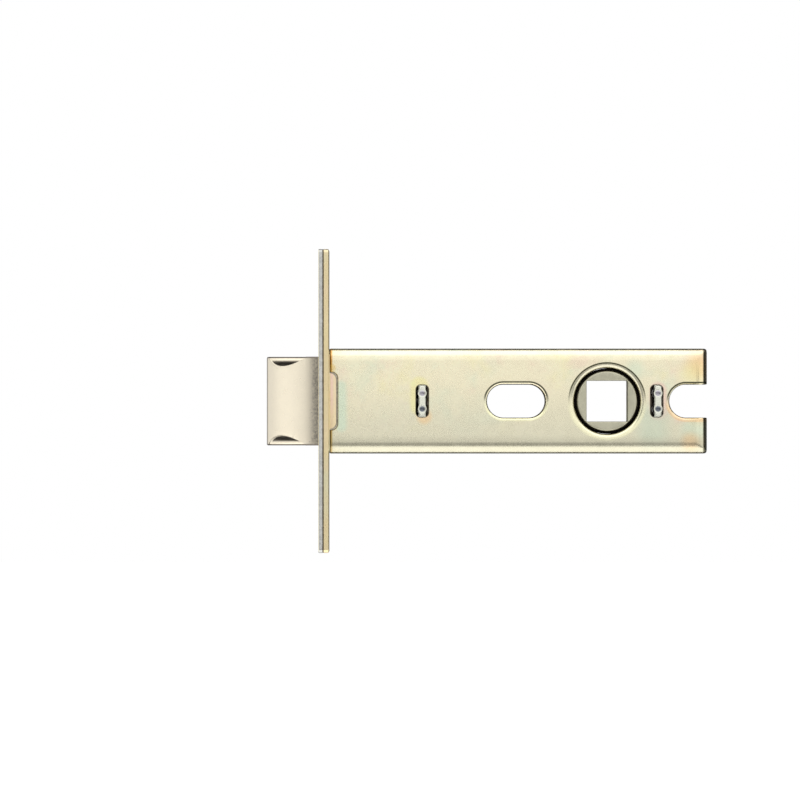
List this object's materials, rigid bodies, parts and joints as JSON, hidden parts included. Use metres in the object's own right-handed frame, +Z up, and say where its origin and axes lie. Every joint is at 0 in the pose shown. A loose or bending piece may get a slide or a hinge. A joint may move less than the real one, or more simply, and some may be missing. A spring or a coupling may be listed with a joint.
{
  "type": "tubular latch",
  "caption": "Tubular door latch: a bevelled spring bolt in a flat face plate, on a slim pressed case with a square spindle hole and slots for the handle bolts.",
  "frame": {"origin": "centre of the face plate's front face, on the bolt's axis", "axes": "+X into the door along the latch, Y across the door's thickness with the bolt's flat side towards +Y, +Z up along the face plate"},
  "size_m": [0.0873, 0.025, 0.06],
  "materials": {
    "face_brass": "polished",
    "forend_steel": "yellow passivated zinc plate",
    "case_steel": "iridescent passivated zinc plate",
    "bridge_steel": "plain zinc plate",
    "bolt_nickel": "satin nickel plate",
    "draw_steel": "plain zinc plate",
    "spring_steel": "bright drawn wire",
    "dark_steel": "phosphated",
    "follower_steel": "sintered and passivated"
  },
  "bodies": {
    "case": {"face_plate": "face_brass", "forend": "forend_steel", "case_half_near": "case_steel", "case_half_far": "case_steel", "front_bridge": "bridge_steel", "rear_bridge": "bridge_steel", "bolt_spring": "spring_steel"},
    "bolt": {"latch_bolt": "bolt_nickel", "bolt_tail": "draw_steel", "tail_ring": "dark_steel"},
    "draw_bar": {"draw_bar": "draw_steel", "guide_pin_top": "draw_steel", "guide_pin_bottom": "draw_steel", "return_spring_top": "spring_steel", "return_spring_bottom": "spring_steel"},
    "follower": {"follower": "follower_steel"},
    "saddle": {"spring_saddle": "draw_steel"}
  },
  "joints": [
    {"name": "follower_turn", "type": "hinge", "parent": "case", "child": "follower", "pos_m": [0.057, 0, 0], "axis": [0, 1, 0], "range_deg": [0, 70]},
    {"name": "bolt_slide", "type": "slide", "parent": "case", "child": "bolt", "axis": [1, 0, 0], "range_m": [0, 0.0103], "stiffness_N_per_m": 250, "springref_m": -0.008, "deforming": ["bolt_spring"]},
    {"name": "draw_bar_slide", "type": "slide", "parent": "case", "child": "draw_bar", "axis": [1, 0, 0], "range_m": [0, 0.0103], "stiffness_N_per_m": 600, "springref_m": -0.01, "deforming": ["return_spring_top", "return_spring_bottom"]},
    {"name": "saddle_slide", "type": "slide", "parent": "case", "child": "saddle", "axis": [1, 0, 0], "range_m": [-0.00367, 0], "stiffness_N_per_m": 600, "springref_m": 0.01}
  ],
  "couplings": [
    {"joint": "follower_turn", "follows": "bolt_slide", "rad_per_m": 118.6},
    {"joint": "draw_bar_slide", "follows": "bolt_slide", "ratio": 1},
    {"joint": "saddle_slide", "follows": "bolt_slide", "ratio": -0.356}
  ]
}
